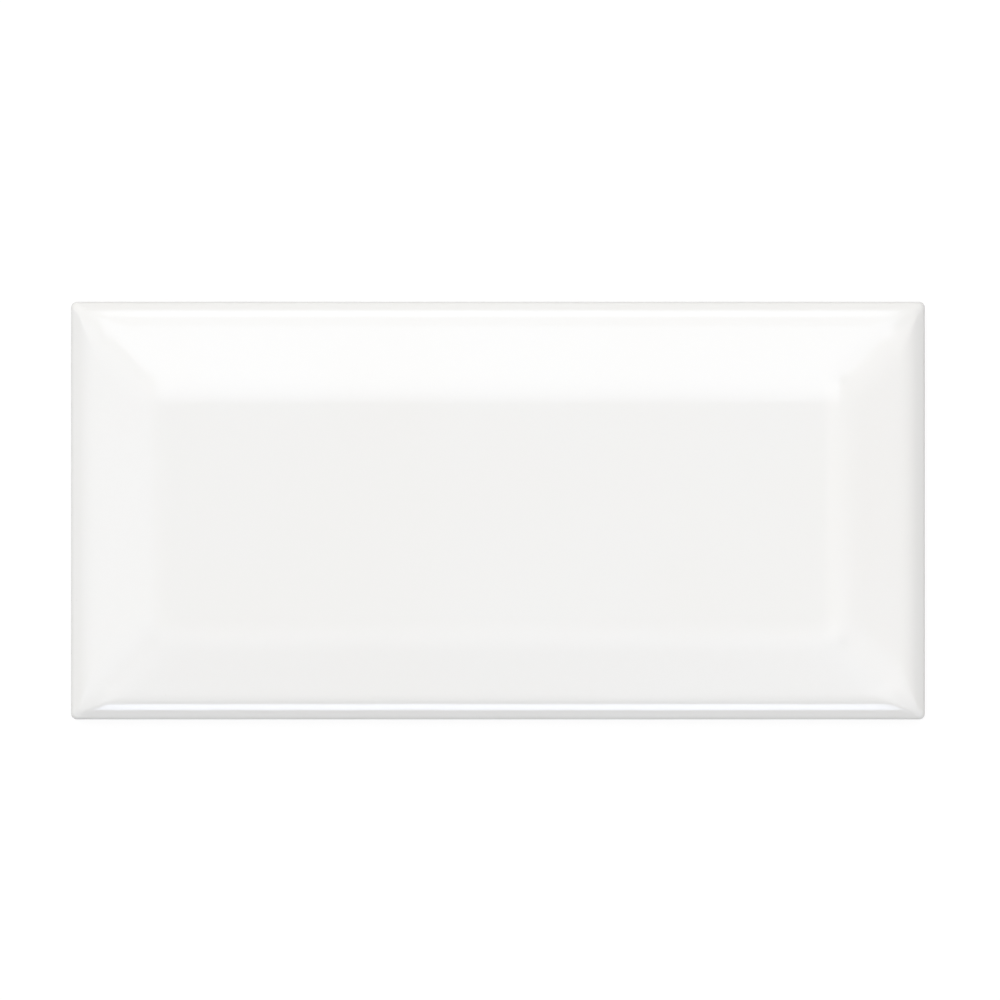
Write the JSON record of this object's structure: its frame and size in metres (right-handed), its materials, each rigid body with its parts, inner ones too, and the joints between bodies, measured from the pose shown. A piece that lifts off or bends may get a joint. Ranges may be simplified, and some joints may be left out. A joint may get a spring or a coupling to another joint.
{
  "type": "subway wall tile",
  "caption": "Rectangular white glazed wall tile with a raised flat centre, sloping mitred borders, a softened rim and a keyed back that adhesive grips.",
  "frame": {"origin": "middle of the back, on the plane of its ribs and border", "axes": "+X along the tile's length, +Y across it, +Z out of the glazed face"},
  "size_m": [0.1492, 0.073, 0.008],
  "materials": {
    "white_glaze": "glossy white glaze over the face, rim and upper sides of a white fired-clay body"
  },
  "bodies": {
    "root": {"wall_tile": "white_glaze"}
  },
  "joints": []
}
